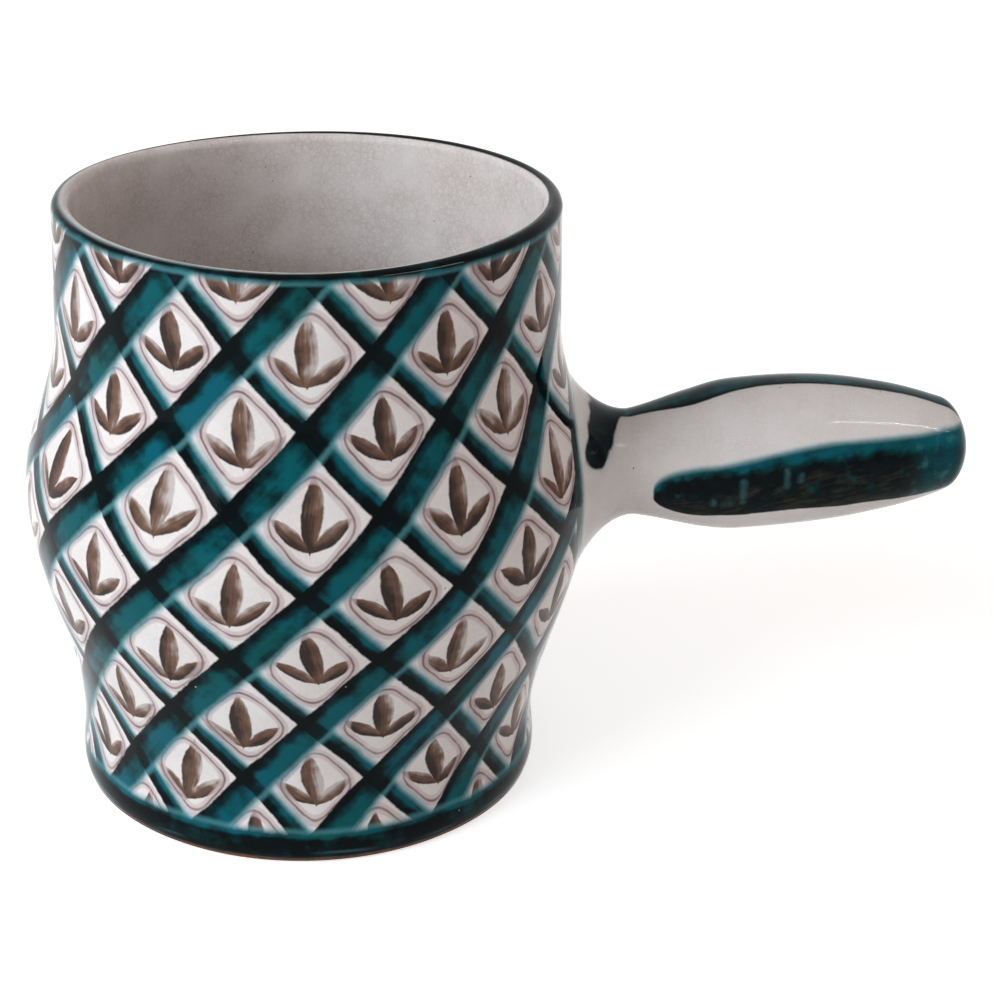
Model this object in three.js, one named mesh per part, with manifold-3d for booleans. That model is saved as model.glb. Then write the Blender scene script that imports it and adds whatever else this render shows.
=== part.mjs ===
// A thrown earthenware pot with a round belly, a rolled lip and one hollow handle that stands
// straight out from its side. Millimetres, +Z up. The origin is the middle of the flat base,
// and the handle points along +X.
import * as THREE from 'three';
import { mergeVertices } from 'three/addons/utils/BufferGeometryUtils.js';
import Module from 'manifold-3d';

const wasm = await Module();
wasm.setup();

// Outside of the pot, from the base up: the bare foot, the waist above it, the belly, the neck and the rim
const BASE_RADIUS = 56.4;
const FOOT_HEIGHT = 5;
const FOOT_RADIUS = 58.4;
const WAIST_HEIGHT = 16;
const WAIST_RADIUS = 57.6;
const BELLY_HEIGHT = 80;
const BELLY_RADIUS = 69.1;
const NECK_HEIGHT = 119;
const NECK_RADIUS = 60.7;
const POT_HEIGHT = 149;
const RIM_RADIUS = 60;

// Clay of the pot: thinner at the rim than at the foot, as it is thrown
const RIM_WALL = 4.6;
const FOOT_WALL = 6.4;
const FLOOR_THICKNESS = 7;
const FLOOR_FILLET = 12;

// Handle: its neck, swell and shoulder are as far out from the belly as these reaches
const HANDLE_HEIGHT = 75.4;
const HANDLE_RISE = 3.1;
const HANDLE_NECK_REACH = 10.9;
const HANDLE_NECK_RADIUS = 13.4;
const HANDLE_SWELL_REACH = 37.9;
const HANDLE_SWELL_RADIUS = 18.8;
const HANDLE_SHOULDER_REACH = 90.9;
const HANDLE_SHOULDER_RADIUS = 11.9;
const HANDLE_RISE_POWER = 1.25;
const HANDLE_FALL_POWER = 2.8;
const HANDLE_END_DEPTH = 6.5;
const HANDLE_WALL = 4.8;
const HANDLE_SPIGOT_RADIUS = 11.6;

// Coil of clay that is smoothed round the joint, as a hollow fillet with a thin edge on the belly
const COLLAR_FILLET = 14;
const COLLAR_EDGE = 0.8;

// Gap between neighbouring pieces
const SEAT_GAP = 0.3;

// Steps round each turned shape and along each curve
const POT_SIDES = 80;
const HANDLE_SIDES = 40;
const CURVE_STEPS = 7;
const ARC_STEPS = 6;
const HALVINGS = 40;
const MERGE_DISTANCE = 1e-4;

// Eased blend: leaves its start and reaches its end without a corner
function ease(t) {
  return t * t * (3 - 2 * t);
}

// Evenly spaced numbers from first to last, both kept
function spread(first, last, steps) {
  return Array.from({ length: steps + 1 }, (_, i) => first + ((last - first) * i) / steps);
}

// Points on a circle's arc, with angles in degrees from the +X side of the outline
function arc(centreX, centreY, radius, fromDegrees, toDegrees, steps) {
  return spread(fromDegrees, toDegrees, steps).map((degrees) => {
    const angle = THREE.MathUtils.degToRad(degrees);
    return new THREE.Vector2(centreX + radius * Math.cos(angle), centreY + radius * Math.sin(angle));
  });
}

const RIM_TUBE = RIM_WALL / 2;
const LIP_HEIGHT = POT_HEIGHT - RIM_TUBE;

// Places along the handle's axis, measured from the pot's axis
const ROOT_AT = BELLY_RADIUS - COLLAR_FILLET;
const NECK_AT = BELLY_RADIUS + HANDLE_NECK_REACH;
const SWELL_AT = BELLY_RADIUS + HANDLE_SWELL_REACH;
const SHOULDER_AT = BELLY_RADIUS + HANDLE_SHOULDER_REACH;
const BORE_RADIUS = HANDLE_SPIGOT_RADIUS - HANDLE_WALL;

// Heights and radii that the outside of the pot passes through, with an eased blend from each to the next
const STATIONS = [
  [FOOT_HEIGHT, FOOT_RADIUS],
  [WAIST_HEIGHT, WAIST_RADIUS],
  [BELLY_HEIGHT, BELLY_RADIUS],
  [NECK_HEIGHT, NECK_RADIUS],
  [LIP_HEIGHT, RIM_RADIUS],
];

function outerRadius(height) {
  const last = STATIONS.length - 1;
  if (height <= STATIONS[0][0]) {
    return STATIONS[0][1];
  }
  if (height >= STATIONS[last][0]) {
    return STATIONS[last][1];
  }
  const above = STATIONS.findIndex(([stationHeight]) => stationHeight > height);
  const [lowHeight, lowRadius] = STATIONS[above - 1];
  const [highHeight, highRadius] = STATIONS[above];
  const share = ease((height - lowHeight) / (highHeight - lowHeight));
  return THREE.MathUtils.lerp(lowRadius, highRadius, share);
}

// Clay thickness: the foot's at the floor, easing to the rim's at the belly
function wallThickness(height) {
  const share = THREE.MathUtils.clamp((height - FLOOR_THICKNESS) / (BELLY_HEIGHT - FLOOR_THICKNESS), 0, 1);
  return THREE.MathUtils.lerp(FOOT_WALL, RIM_WALL, ease(share));
}

// Outside of the pot from the foot to the lip, moved outwards by a clearance
function outerWall(clearance) {
  const points = [];
  for (let i = 1; i < STATIONS.length; i += 1) {
    const heights = spread(STATIONS[i - 1][0], STATIONS[i][0], i === 1 ? ARC_STEPS / 2 : CURVE_STEPS);
    const fresh = i === 1 ? heights : heights.slice(1);
    points.push(...fresh.map((height) => new THREE.Vector2(outerRadius(height) + clearance, height)));
  }
  return points;
}

// Outline of the pot's clay: flat base, foot edge, outside, round lip, inside, filleted floor
function potOutline() {
  const footEdge = spread(0, 1, ARC_STEPS / 2).slice(0, -1).map((t) => {
    const radius = THREE.MathUtils.lerp(BASE_RADIUS, FOOT_RADIUS, Math.sin((t * Math.PI) / 2));
    return new THREE.Vector2(radius, FOOT_HEIGHT * (1 - Math.cos((t * Math.PI) / 2)));
  });
  const lip = arc(RIM_RADIUS - RIM_TUBE, LIP_HEIGHT, RIM_TUBE, 0, 180, ARC_STEPS).slice(1, -1);
  const filletTop = FLOOR_THICKNESS + FLOOR_FILLET;
  const innerRadius = (height) => outerRadius(height) - wallThickness(height);
  const innerHeights = [
    ...spread(LIP_HEIGHT, BELLY_HEIGHT, CURVE_STEPS),
    ...spread(BELLY_HEIGHT, filletTop, CURVE_STEPS - 1).slice(1),
  ];
  const inside = innerHeights.map((height) => new THREE.Vector2(innerRadius(height), height));
  const filletCentre = innerRadius(filletTop) - FLOOR_FILLET;
  const fillet = arc(filletCentre, filletTop, FLOOR_FILLET, 0, -90, ARC_STEPS).slice(1);
  return [
    new THREE.Vector2(0, 0),
    ...footEdge,
    ...outerWall(0),
    ...lip,
    ...inside,
    ...fillet,
    new THREE.Vector2(0, FLOOR_THICKNESS),
  ];
}

// Outside radius of the handle: a quick rise from its neck to the swell, then a long fall to the shoulder
function handleRadius(along) {
  if (along <= SWELL_AT) {
    const rise = ((along - NECK_AT) / (SWELL_AT - NECK_AT)) ** HANDLE_RISE_POWER;
    return THREE.MathUtils.lerp(HANDLE_NECK_RADIUS, HANDLE_SWELL_RADIUS, Math.sin((rise * Math.PI) / 2));
  }
  const fall = ((along - SWELL_AT) / (SHOULDER_AT - SWELL_AT)) ** HANDLE_FALL_POWER;
  return THREE.MathUtils.lerp(HANDLE_SWELL_RADIUS, HANDLE_SHOULDER_RADIUS, fall);
}

// Rounded end as a quarter of an ellipse, drawn in by an inset that is the wall on the inside
function handleEnd(inset) {
  return spread(0, 1, ARC_STEPS).slice(1).map((t) => {
    const angle = (t * Math.PI) / 2;
    const radius = (HANDLE_SHOULDER_RADIUS - inset) * Math.cos(angle);
    const along = SHOULDER_AT + (HANDLE_END_DEPTH - inset) * Math.sin(angle);
    return new THREE.Vector2(Math.max(radius, 0), along);
  });
}

// Outline of the hollow handle: spigot at the root, neck, swell, closed round end, and the bore inside
function handleOutline() {
  const stretches = [
    ...spread(NECK_AT, SWELL_AT, CURVE_STEPS),
    ...spread(SWELL_AT, SHOULDER_AT, CURVE_STEPS + 1).slice(1),
  ];
  const outside = stretches.map((along) => new THREE.Vector2(handleRadius(along), along));
  const inside = stretches.slice(1).reverse().map((along) => {
    return new THREE.Vector2(handleRadius(along) - HANDLE_WALL, along);
  });
  return [
    new THREE.Vector2(BORE_RADIUS, ROOT_AT),
    new THREE.Vector2(HANDLE_SPIGOT_RADIUS, ROOT_AT),
    new THREE.Vector2(HANDLE_SPIGOT_RADIUS, NECK_AT),
    ...outside,
    ...handleEnd(0),
    ...handleEnd(HANDLE_WALL).reverse(),
    ...inside,
    new THREE.Vector2(BORE_RADIUS, NECK_AT),
    new THREE.Vector2(BORE_RADIUS, ROOT_AT),
  ];
}

// Turns and lifts the handle's own space, whose +Z is the handle's axis, into the pot's space
function handlePlacing() {
  const lean = THREE.MathUtils.degToRad(90 - HANDLE_RISE);
  const placing = new THREE.Matrix4().makeTranslation(0, 0, HANDLE_HEIGHT);
  return placing.multiply(new THREE.Matrix4().makeRotationY(lean));
}

// Distance along the handle's axis at which a line beside it, at a radius and a turn, meets the pot's outside
function bellyAlong(radius, turn) {
  const placing = handlePlacing();
  let inside = 0;
  let outside = NECK_AT;
  for (let i = 0; i < HALVINGS; i += 1) {
    const middle = (inside + outside) / 2;
    const point = new THREE.Vector3(radius * Math.cos(turn), radius * Math.sin(turn), middle).applyMatrix4(placing);
    if (Math.hypot(point.x, point.y) < outerRadius(point.z)) {
      inside = middle;
    } else {
      outside = middle;
    }
  }
  return outside;
}

// One section of the collar at a turn about the handle: the hollow fillet, the seat on the belly and the bore
function collarSection(turn) {
  const endAt = NECK_AT - SEAT_GAP;
  const seat = (radius) => bellyAlong(radius, turn) + SEAT_GAP;
  const hollow = spread(0, 1, ARC_STEPS + 2).map((share) => {
    const radius = HANDLE_NECK_RADIUS + COLLAR_FILLET * (1 - Math.cos((share * Math.PI) / 2));
    const low = seat(radius) + COLLAR_EDGE;
    return [radius, low + (endAt - low) * (1 - Math.sin((share * Math.PI) / 2))];
  });
  const radii = spread(HANDLE_NECK_RADIUS + COLLAR_FILLET, HANDLE_SPIGOT_RADIUS + SEAT_GAP, ARC_STEPS);
  const underside = radii.map((radius) => [radius, seat(radius)]);
  const bore = [HANDLE_SPIGOT_RADIUS + SEAT_GAP, endAt];
  return [...hollow, ...underside, bore].map(([radius, along]) => {
    return [radius * Math.cos(turn), radius * Math.sin(turn), along];
  });
}

// The collar's sections joined all the way round the handle
function collarGeometry() {
  const turns = spread(0, 2 * Math.PI, HANDLE_SIDES).slice(0, -1);
  const sections = turns.map(collarSection);
  const count = sections[0].length;
  const corners = [];
  for (let i = 0; i < turns.length; i += 1) {
    for (let j = 0; j < count; j += 1) {
      const nextTurn = ((i + 1) % turns.length) * count;
      const nextPoint = (j + 1) % count;
      const [a, b, c, d] = [i * count + j, i * count + nextPoint, nextTurn + nextPoint, nextTurn + j];
      corners.push(a, b, c, a, c, d);
    }
  }
  const geometry = new THREE.BufferGeometry();
  geometry.setAttribute('position', new THREE.Float32BufferAttribute(sections.flat(2), 3));
  geometry.setIndex(corners);
  return geometry;
}

// Closed solid of a geometry, with its shared corners merged
function solidOf(geometry) {
  geometry.deleteAttribute('normal');
  geometry.deleteAttribute('uv');
  const merged = mergeVertices(geometry, MERGE_DISTANCE);
  const corners = merged.index.array;
  const kept = [];
  for (let i = 0; i < corners.length; i += 3) {
    const [a, b, c] = [corners[i], corners[i + 1], corners[i + 2]];
    if (a !== b && b !== c && c !== a) {
      kept.push(a, b, c);
    }
  }
  const vertProperties = Float32Array.from(merged.attributes.position.array);
  return new wasm.Manifold(new wasm.Mesh({ numProp: 3, vertProperties, triVerts: Uint32Array.from(kept) }));
}

// Closed solid of an outline that is turned round +Z
function turned(outline, sides) {
  return solidOf(new THREE.LatheGeometry(outline, sides).rotateX(Math.PI / 2));
}

// Named, coloured mesh of a solid
function piece(name, solid, colour, roughness) {
  const { vertProperties, triVerts } = solid.getMesh();
  const geometry = new THREE.BufferGeometry();
  geometry.setAttribute('position', new THREE.BufferAttribute(Float32Array.from(vertProperties), 3));
  geometry.setIndex(new THREE.BufferAttribute(Uint32Array.from(triVerts), 1));
  geometry.computeVertexNormals();
  const material = new THREE.MeshStandardMaterial({ color: colour, roughness, metalness: 0 });
  const mesh = new THREE.Mesh(geometry, material);
  mesh.name = name;
  return mesh;
}

// Space that the pot fills with its contents, a little larger than its outside, which cuts the joint's saddle
function potEnvelope() {
  const wall = outerWall(SEAT_GAP);
  return turned([new THREE.Vector2(0, FOOT_HEIGHT), ...wall, new THREE.Vector2(0, LIP_HEIGHT)], POT_SIDES);
}

const envelope = potEnvelope();
const potClay = turned(potOutline(), POT_SIDES);
const alongHandle = handlePlacing().elements;
const handleClay = turned(handleOutline(), HANDLE_SIDES).transform(alongHandle).subtract(envelope);
const collarClay = solidOf(collarGeometry()).transform(alongHandle);

const handledPot = new THREE.Group();
handledPot.add(piece('pot_body', potClay, '#d9d4cf', 0.25));
handledPot.add(piece('handle', handleClay, '#7f9497', 0.25));
handledPot.add(piece('luting_collar', collarClay, '#1d4a54', 0.28));

export default handledPot;
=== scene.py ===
"""Looks of a glazed earthenware pot with one hollow side handle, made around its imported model."""

import logging
import math
from dataclasses import dataclass, field
from enum import Enum

import bpy
import numpy as np
from mathutils import Matrix, Vector


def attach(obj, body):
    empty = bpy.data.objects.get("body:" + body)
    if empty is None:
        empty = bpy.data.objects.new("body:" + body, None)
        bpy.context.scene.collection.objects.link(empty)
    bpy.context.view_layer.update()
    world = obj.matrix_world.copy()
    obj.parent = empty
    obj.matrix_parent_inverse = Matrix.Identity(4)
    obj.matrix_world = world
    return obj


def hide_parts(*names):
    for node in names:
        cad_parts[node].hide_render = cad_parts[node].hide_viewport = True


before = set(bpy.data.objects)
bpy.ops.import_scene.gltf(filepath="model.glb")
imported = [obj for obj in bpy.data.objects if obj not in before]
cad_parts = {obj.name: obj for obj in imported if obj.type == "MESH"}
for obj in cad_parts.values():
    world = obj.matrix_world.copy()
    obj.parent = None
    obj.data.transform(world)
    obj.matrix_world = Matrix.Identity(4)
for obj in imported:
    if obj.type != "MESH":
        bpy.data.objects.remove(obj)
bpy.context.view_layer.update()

MM = 0.001
FULL_TURN = 2.0 * math.pi
GLAZE_SHEEN = 0.05
GLAZE_ROUGHNESS = 0.06
LOG = logging.getLogger("handled_pot")

Socket = bpy.types.NodeSocket
Tree = bpy.types.NodeTree
Table = tuple[tuple[float, float, float], ...]


class Pigment(Enum):
    """Fired colours of the clay, the glaze and its brushwork, as linear red, green and blue."""

    WHITE = (0.785, 0.765, 0.768)
    WARM_WHITE = (0.700, 0.645, 0.625)
    CRACK_STAIN = (0.36, 0.30, 0.28)
    BLUE_TEAL = (0.001, 0.098, 0.142)
    GREEN_TEAL = (0.001, 0.084, 0.088)
    DEEP_TEAL = (0.0008, 0.024, 0.028)
    NEAR_BLACK = (0.0008, 0.0035, 0.0045)
    PALE_TEAL = (0.090, 0.310, 0.350)
    OLIVE = (0.028, 0.030, 0.022)
    BROWN = (0.150, 0.076, 0.048)
    DARK_BROWN = (0.022, 0.010, 0.006)
    MAUVE = (0.20, 0.135, 0.145)
    PALE_MAUVE = (0.56, 0.46, 0.465)
    CLAY = (0.27, 0.115, 0.060)
    DARK_CLAY = (0.10, 0.045, 0.028)


class Slot(Enum):
    """Names of the record's material slots."""

    WHITE_GLAZE = "white_glaze"
    HANDLE_GLAZE = "handle_glaze"
    TEAL_GLAZE = "teal_glaze"


class Field:
    """A number that varies over a surface: a shader socket with plain arithmetic."""

    def __init__(self, tree: Tree, socket: Socket) -> None:
        """Keeps the tree and the socket.

        Args:
            tree: Node tree that the socket belongs to.
            socket: Output that carries the number.
        """
        self.tree = tree
        self.socket = socket

    def __add__(self, other: "Field | float") -> "Field":
        """Sum with another number."""
        return compute(self.tree, "ADD", self, other)

    def __radd__(self, other: float) -> "Field":
        """Sum with a plain number on the left."""
        return compute(self.tree, "ADD", other, self)

    def __sub__(self, other: "Field | float") -> "Field":
        """Difference from another number."""
        return compute(self.tree, "SUBTRACT", self, other)

    def __rsub__(self, other: float) -> "Field":
        """Plain number on the left less this one."""
        return compute(self.tree, "SUBTRACT", other, self)

    def __mul__(self, other: "Field | float") -> "Field":
        """Product with another number."""
        return compute(self.tree, "MULTIPLY", self, other)

    def __rmul__(self, other: float) -> "Field":
        """Product with a plain number on the left."""
        return compute(self.tree, "MULTIPLY", other, self)

    def __truediv__(self, other: "Field | float") -> "Field":
        """Quotient by another number."""
        return compute(self.tree, "DIVIDE", self, other)

    def __abs__(self) -> "Field":
        """Size without sign."""
        return compute(self.tree, "ABSOLUTE", self)

    def power(self, exponent: float) -> "Field":
        """This number raised to an exponent."""
        return compute(self.tree, "POWER", self, exponent)

    def clamped(self) -> "Field":
        """This number held between 0 and 1."""
        return compute(self.tree, "ADD", self, 0.0, clamp=True)


def compute(tree: Tree, operation: str, *operands: "Field | float", clamp: bool = False) -> Field:
    """Adds one math node.

    Args:
        tree: Node tree to add to.
        operation: Blender's name of the operation.
        *operands: Fields or plain numbers, in order.
        clamp: Whether the result is held between 0 and 1.

    Returns:
        The result as a field.
    """
    node = tree.nodes.new("ShaderNodeMath")
    node.operation = operation
    node.use_clamp = clamp
    for entry, operand in zip(node.inputs, operands):
        feed(tree, entry, operand)
    return Field(tree, node.outputs[0])


def feed(tree: Tree, entry: Socket, value: "Field | Pigment | float") -> None:
    """Links a field or a socket to a node's input, or writes a plain value or pigment into it.

    Args:
        tree: Node tree that holds the input.
        entry: Input to fill.
        value: What goes in.
    """
    if isinstance(value, Field):
        tree.links.new(value.socket, entry)
    elif isinstance(value, Socket):
        tree.links.new(value, entry)
    elif isinstance(value, Pigment):
        entry.default_value = (*value.value, 1.0)
    else:
        entry.default_value = value


def larger(first: Field, second: "Field | float") -> Field:
    """The larger of two numbers."""
    return compute(first.tree, "MAXIMUM", first, second)


def diagonal(first: Field, second: "Field | float") -> Field:
    """Root of the sum of two numbers' squares."""
    return compute(first.tree, "SQRT", first * first + second * second)


def soft_step(value: Field, low: "Field | float", high: "Field | float") -> Field:
    """Eased step: 0 where the value is under low, 1 where it is over high.

    Args:
        value: Field that is compared.
        low: Value at which the step leaves 0.
        high: Value at which the step reaches 1.

    Returns:
        The step as a field.
    """
    node = value.tree.nodes.new("ShaderNodeMapRange")
    node.interpolation_type = "SMOOTHSTEP"
    for entry, operand in zip(node.inputs, (value, low, high, 0.0, 1.0)):
        feed(value.tree, entry, operand)
    return Field(value.tree, node.outputs[0])


def ramps(value: Field, steps: Table) -> Field:
    """Sum of eased steps, each given by where it starts, where it ends and how much it adds."""
    return sum(soft_step(value, start, end) * added for start, end, added in steps)


def within(distance: Field, half_width: "Field | float", feather: float) -> Field:
    """Cover of a stroke: 1 near its middle line, 0 beyond its half width, with a soft edge.

    Args:
        distance: Unsigned distance from the middle line.
        half_width: Half of the stroke's width.
        feather: Half of the soft edge's width.

    Returns:
        The cover as a field.
    """
    return 1.0 - soft_step(distance - half_width, -feather, feather)


class Canvas:
    """A material's node tree, the surface's own coordinates in millimetres and the tools to paint on it."""

    def __init__(self, name: str) -> None:
        """Starts an empty material.

        Args:
            name: Name of the material.
        """
        self.material = bpy.data.materials.new(name)
        self.material.use_nodes = True
        self.tree = self.material.node_tree
        self.tree.nodes.clear()
        coordinates = self.tree.nodes.new("ShaderNodeTexCoord")
        self.place = coordinates.outputs["Object"]
        split = self.tree.nodes.new("ShaderNodeSeparateXYZ")
        self.tree.links.new(self.place, split.inputs[0])
        self.x, self.y, self.z = (Field(self.tree, output) * (1.0 / MM) for output in split.outputs)
        self.radius = diagonal(self.x, self.y)

    def attribute(self, name: str) -> Field:
        """A number stored on the mesh's vertices.

        Args:
            name: Name of the attribute.

        Returns:
            The attribute as a field.
        """
        node = self.tree.nodes.new("ShaderNodeAttribute")
        node.attribute_name = name
        return Field(self.tree, node.outputs["Fac"])

    def point(self, x: "Field | float", y: "Field | float", z: "Field | float") -> Socket:
        """Three numbers as one vector.

        Args:
            x: First number.
            y: Second number.
            z: Third number.

        Returns:
            The vector's socket.
        """
        node = self.tree.nodes.new("ShaderNodeCombineXYZ")
        for entry, operand in zip(node.inputs, (x, y, z)):
            feed(self.tree, entry, operand)
        return node.outputs[0]

    def noise(self, grain: float, detail: float = 2.0, place: "Socket | None" = None) -> Field:
        """Cloudy noise around 0, from about -0.5 to 0.5.

        Args:
            grain: Size of its lumps, in millimetres, or in units of the given place.
            detail: Octaves of finer noise.
            place: Vector that it reads, in place of the surface's own coordinates.

        Returns:
            The noise as a field.
        """
        node = self.tree.nodes.new("ShaderNodeTexNoise")
        node.inputs["Detail"].default_value = detail
        node.inputs["Scale"].default_value = 1.0 / grain if place else 1.0 / (grain * MM)
        self.tree.links.new(place or self.place, node.inputs["Vector"])
        return Field(self.tree, node.outputs[0]) - 0.5

    def cells(self, size: float, feature: str, place: "Socket | None" = None) -> bpy.types.Node:
        """Voronoi cells.

        Args:
            size: Typical width of a cell, in millimetres.
            feature: Blender's name of what is measured.
            place: Vector that it reads, in place of the surface's own coordinates.

        Returns:
            The node.
        """
        node = self.tree.nodes.new("ShaderNodeTexVoronoi")
        node.feature = feature
        node.inputs["Scale"].default_value = 1.0 / (size * MM)
        self.tree.links.new(place or self.place, node.inputs["Vector"])
        return node

    def over(self, under: "Socket | Pigment", paint: "Socket | Pigment",
             cover: "Field | float") -> Socket:
        """Lays a colour over another one.

        Args:
            under: Colour below.
            paint: Colour above.
            cover: How much of the upper colour shows, from 0 to 1.

        Returns:
            The mixed colour.
        """
        node = self.tree.nodes.new("ShaderNodeMix")
        node.data_type = "RGBA"
        node.clamp_factor = True
        feed(self.tree, node.inputs["Factor"], cover)
        entries = [entry for entry in node.inputs if entry.type == "RGBA"]
        feed(self.tree, entries[0], under)
        feed(self.tree, entries[1], paint)
        return next(output for output in node.outputs if output.type == "RGBA")

    def fire(self, colour: Socket, height: Field, roughness: "Field | float") -> None:
        """Ends the material with a glossy surface.

        Args:
            colour: Colour of the surface.
            height: Relief of the surface in millimetres, for the bump.
            roughness: Roughness of the surface.
        """
        bump = self.tree.nodes.new("ShaderNodeBump")
        bump.inputs["Strength"].default_value = 1.0
        bump.inputs["Distance"].default_value = MM
        feed(self.tree, bump.inputs["Height"], height)
        surface = self.tree.nodes.new("ShaderNodeBsdfPrincipled")
        feed(self.tree, surface.inputs["Base Color"], colour)
        feed(self.tree, surface.inputs["Roughness"], roughness)
        surface.inputs["Specular IOR Level"].default_value = GLAZE_SHEEN
        self.tree.links.new(bump.outputs[0], surface.inputs["Normal"])
        output = self.tree.nodes.new("ShaderNodeOutputMaterial")
        self.tree.links.new(surface.outputs[0], output.inputs["Surface"])


@dataclass(frozen=True)
class CrackleGlaze:
    """White glaze with a net of fine stained cracks, cloudy tone and a few pinholes.

    A crack lies where the distance to the edge of a cell is small. A pinhole is a dot in the middle of
    those few cells whose random number is high.
    """

    crack_size: float = 1.8
    fine_crack_size: float = 1.1
    crack_width: float = 0.11
    crack_cover: float = 0.40
    stain_width: float = 0.42
    pinhole_spacing: float = 4.2
    pinhole_radius: float = 0.30
    speck_spacing: float = 2.1
    speck_radius: float = 0.20
    tile_cover: float = 0.10
    fine_share: float = 0.6
    crack_depth: float = 0.004
    pinhole_depth: float = 0.06
    unevenness: float = 0.30
    warmth: float = 0.4

    def lay(self, canvas: Canvas, stain_and_shade: "Field | float") -> tuple[Socket, Field]:
        """Paints the bare white ground.

        Args:
            canvas: Material to paint on.
            stain_and_shade: How strongly the cracks show, and how much warmer and darker the white is;
                inside the pot that darker white is partly painted shade.

        Returns:
            The colour and the relief in millimetres.
        """
        cloud = canvas.noise(22.0, 3.0)
        # Warmer, darker white where the stain is strong; inside the pot this darkening is partly painted
        # shade.
        warm = (cloud * 1.6 + 0.1 + stain_and_shade * self.warmth).clamped()
        colour = canvas.over(Pigment.WHITE, Pigment.WARM_WHITE, warm)
        patch = (canvas.noise(11.0, 3.0) * 2.8 + 0.75).clamped()
        shaken = self.shaken_place(canvas)
        cracks = None
        for size, strength in ((self.crack_size, 1.0), (self.fine_crack_size, self.fine_share)):
            node = canvas.cells(size, "DISTANCE_TO_EDGE", shaken)
            edge = Field(canvas.tree, node.outputs["Distance"]) * size
            line = within(edge, self.crack_width * 0.5, self.crack_width)
            soaked = 1.0 - soft_step(edge, 0.0, self.stain_width)
            net = (line * 0.55 + soaked * 0.45) * strength
            cracks = net if cracks is None else larger(cracks, net)
        tile = Field(canvas.tree, canvas.cells(self.crack_size, "F1", shaken).outputs["Color"])
        stained = (cracks * self.crack_cover + tile * self.tile_cover) * patch * stain_and_shade
        colour = canvas.over(colour, Pigment.CRACK_STAIN, stained)
        pinhole = self.dots(canvas, self.pinhole_spacing, self.pinhole_radius)
        speck = self.dots(canvas, self.speck_spacing, self.speck_radius) * 0.6 * stain_and_shade
        colour = canvas.over(colour, Pigment.DARK_BROWN, larger(pinhole * 0.75, speck))
        waves = canvas.noise(14.0, 1.0) * self.unevenness + canvas.noise(4.0, 1.0) * 0.03
        return colour, waves - cracks * self.crack_depth - pinhole * self.pinhole_depth

    def dots(self, canvas: Canvas, spacing: float, radius: float) -> Field:
        """Cover of small round dots, in the middle of about one cell in six.

        Args:
            canvas: Material to paint on.
            spacing: Typical distance between the middles of cells, in millimetres.
            radius: Radius of a dot, in millimetres.

        Returns:
            The cover as a field.
        """
        cells = canvas.cells(spacing, "F1")
        near = Field(canvas.tree, cells.outputs["Distance"]) * spacing
        chosen = soft_step(Field(canvas.tree, cells.outputs["Color"]), 0.60, 0.66)
        return within(near, radius * 0.7, radius * 0.4) * chosen

    def shaken_place(self, canvas: Canvas) -> Socket:
        """Pushes the surface's coordinates about a little, so that cracks are not straight.

        Args:
            canvas: Material that reads them.

        Returns:
            The pushed coordinates.
        """
        shake = canvas.tree.nodes.new("ShaderNodeTexNoise")
        shake.inputs["Scale"].default_value = 1.0 / (3.5 * MM)
        canvas.tree.links.new(canvas.place, shake.inputs["Vector"])
        scaled = canvas.tree.nodes.new("ShaderNodeVectorMath")
        scaled.operation = "MULTIPLY_ADD"
        scaled.inputs[1].default_value = (1.5 * MM,) * 3
        canvas.tree.links.new(shake.outputs["Color"], scaled.inputs[0])
        canvas.tree.links.new(canvas.place, scaled.inputs[2])
        return scaled.outputs[0]


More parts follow.
